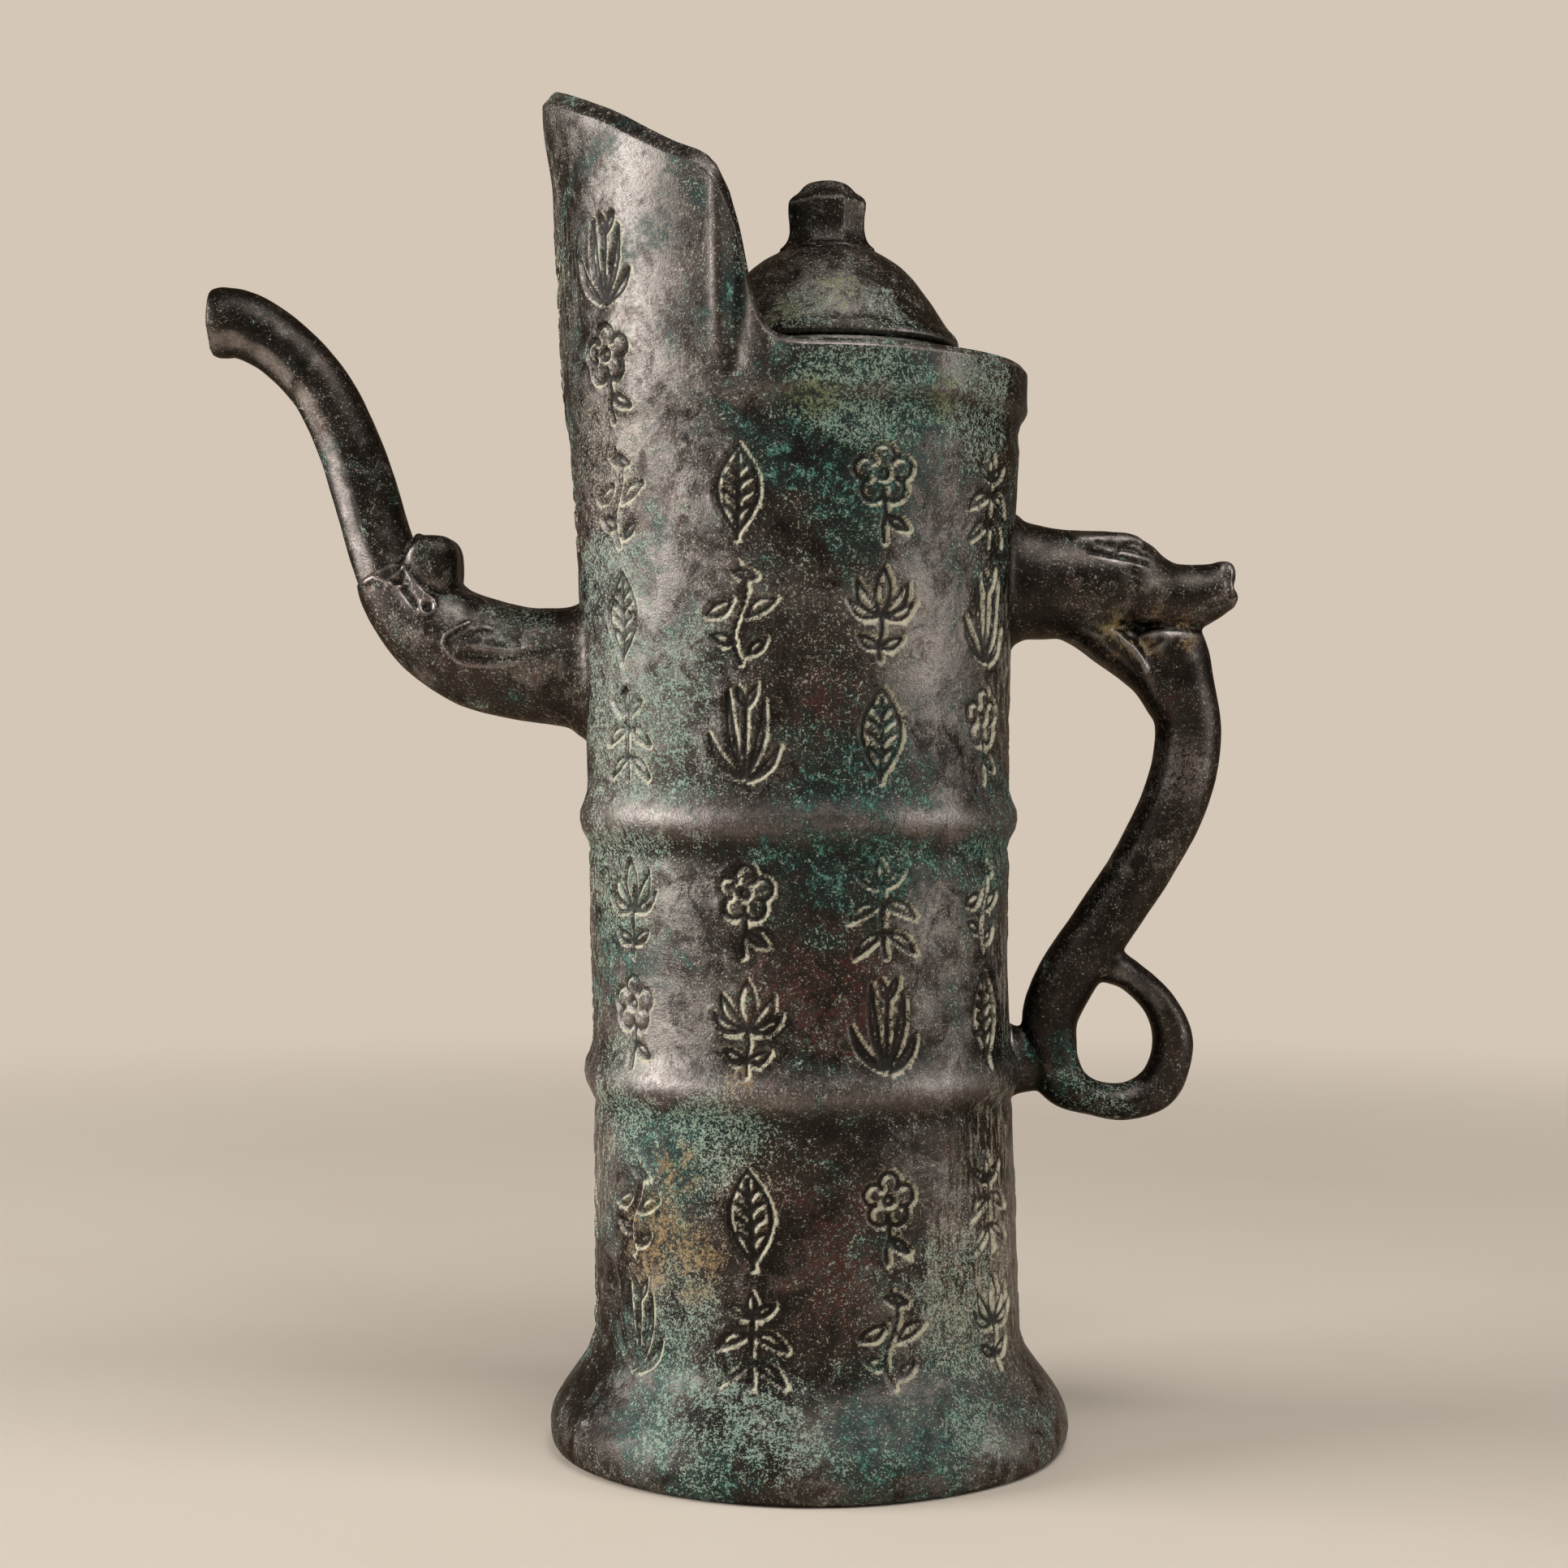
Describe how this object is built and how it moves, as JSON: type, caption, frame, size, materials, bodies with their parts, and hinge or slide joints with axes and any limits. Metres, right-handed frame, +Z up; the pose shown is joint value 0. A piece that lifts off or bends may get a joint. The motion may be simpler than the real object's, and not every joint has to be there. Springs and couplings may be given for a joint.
{
  "type": "bronze wine pot",
  "caption": "Bamboo-jointed cast bronze wine pot with a tall pouring shield, elephant-trunk spout, beast handle with a ring tail and a lift-off domed lid.",
  "frame": {"origin": "centre of the foot's underside, on the surface that the pot stands on", "axes": "+Z up along the pot, -X towards the spout, +X towards the handle"},
  "size_m": [0.2144, 0.1084, 0.28],
  "materials": {
    "body_bronze": "dark bronze with green patina and red-brown patches, half gloss",
    "fitting_bronze": "dark handled bronze, polished on the high places, green in the hollows",
    "lid_bronze": "dark bronze with yellow-green patina, half gloss"
  },
  "bodies": {
    "pot": {"body": "body_bronze", "base_plate": "body_bronze", "mouth_ring": "body_bronze", "spout_head": "fitting_bronze", "spout_trunk": "fitting_bronze", "handle_head": "fitting_bronze", "handle_grip": "fitting_bronze"},
    "lid": {"lid_dome": "lid_bronze", "lid_flange": "lid_bronze", "lid_knob": "lid_bronze"}
  },
  "joints": [
    {"name": "lid_lift", "type": "slide", "parent": "pot", "child": "lid", "axis": [0, 0, 1], "range_m": [0, 0.07]}
  ]
}
